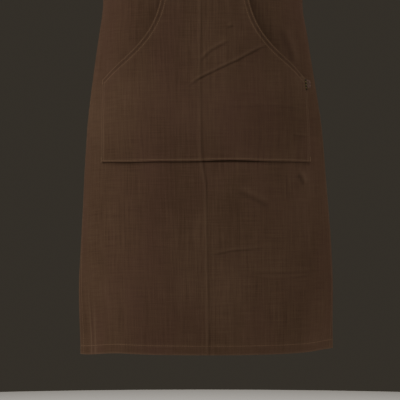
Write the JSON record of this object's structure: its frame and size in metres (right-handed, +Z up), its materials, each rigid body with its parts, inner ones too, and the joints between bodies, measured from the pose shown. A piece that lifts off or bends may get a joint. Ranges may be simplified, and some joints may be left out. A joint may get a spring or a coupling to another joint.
{
  "type": "butcher apron",
  "caption": "Bib apron in heavy canvas with a scooped kangaroo pocket, an adjustable neck strap and waist ties knotted behind.",
  "frame": {"origin": "inner face of the neck strap where it bears on the nape of the neck", "axes": "+Z up, the front of the apron faces -Y, +X to the right of someone facing the apron"},
  "size_m": [0.4672, 0.2829, 1.1285],
  "materials": {
    "canvas": "heavy woven cotton canvas, dark brown, dyed, dry hand",
    "facing": "the same canvas, inside face",
    "webbing": "woven cotton webbing, dark brown",
    "dark_thread": "black bar-tack thread",
    "light_thread": "tan topstitch thread",
    "label": "blank woven cotton tape, undyed",
    "brass": "aged brass wire, satin"
  },
  "bodies": {
    "apron": {"body_panel": "canvas", "bottom_hem": "canvas", "side_hem_left": "canvas", "side_hem_right": "canvas", "bib_top_hem": "canvas", "pocket_panel": "canvas", "pocket_top_hem": "canvas", "waist_tie_left": "canvas", "waist_tie_right": "canvas", "bow_knot": "canvas", "bow_loop_left": "canvas", "bow_loop_right": "canvas", "armhole_facing_left": "facing", "armhole_facing_right": "facing", "bib_patch_left": "facing", "bib_patch_right": "facing", "waist_patch_left": "facing", "waist_patch_right": "facing", "pocket_facing_left": "facing", "pocket_facing_right": "facing", "neck_strap": "webbing", "neck_strap_return": "webbing", "ring_tab": "webbing", "opening_tack_right": "dark_thread", "opening_tack_left": "light_thread", "foot_tack_left": "light_thread", "foot_tack_right": "light_thread", "top_tack_left": "light_thread", "top_tack_right": "light_thread", "care_label": "label", "corner_tab": "label", "strap_ring": "brass"},
    "slider": {"neck_slider": "brass"},
    "tail_left": {"tie_tail_left": "canvas"},
    "tail_right": {"tie_tail_right": "canvas"}
  },
  "joints": [
    {"name": "slider_slide", "type": "slide", "parent": "apron", "child": "slider", "axis": [0, 0, 1], "range_m": [-0.02, 0.024], "deforming": ["neck_strap_return"]},
    {"name": "tail_left_swing", "type": "hinge", "parent": "apron", "child": "tail_left", "pos_m": [-0.0094, 0.0242, -0.5086], "axis": [0, 1, 0], "range_deg": [-15, 50]},
    {"name": "tail_right_swing", "type": "hinge", "parent": "apron", "child": "tail_right", "pos_m": [0.0026, 0.0277, -0.5116], "axis": [0, 1, 0], "range_deg": [-50, 15]}
  ]
}
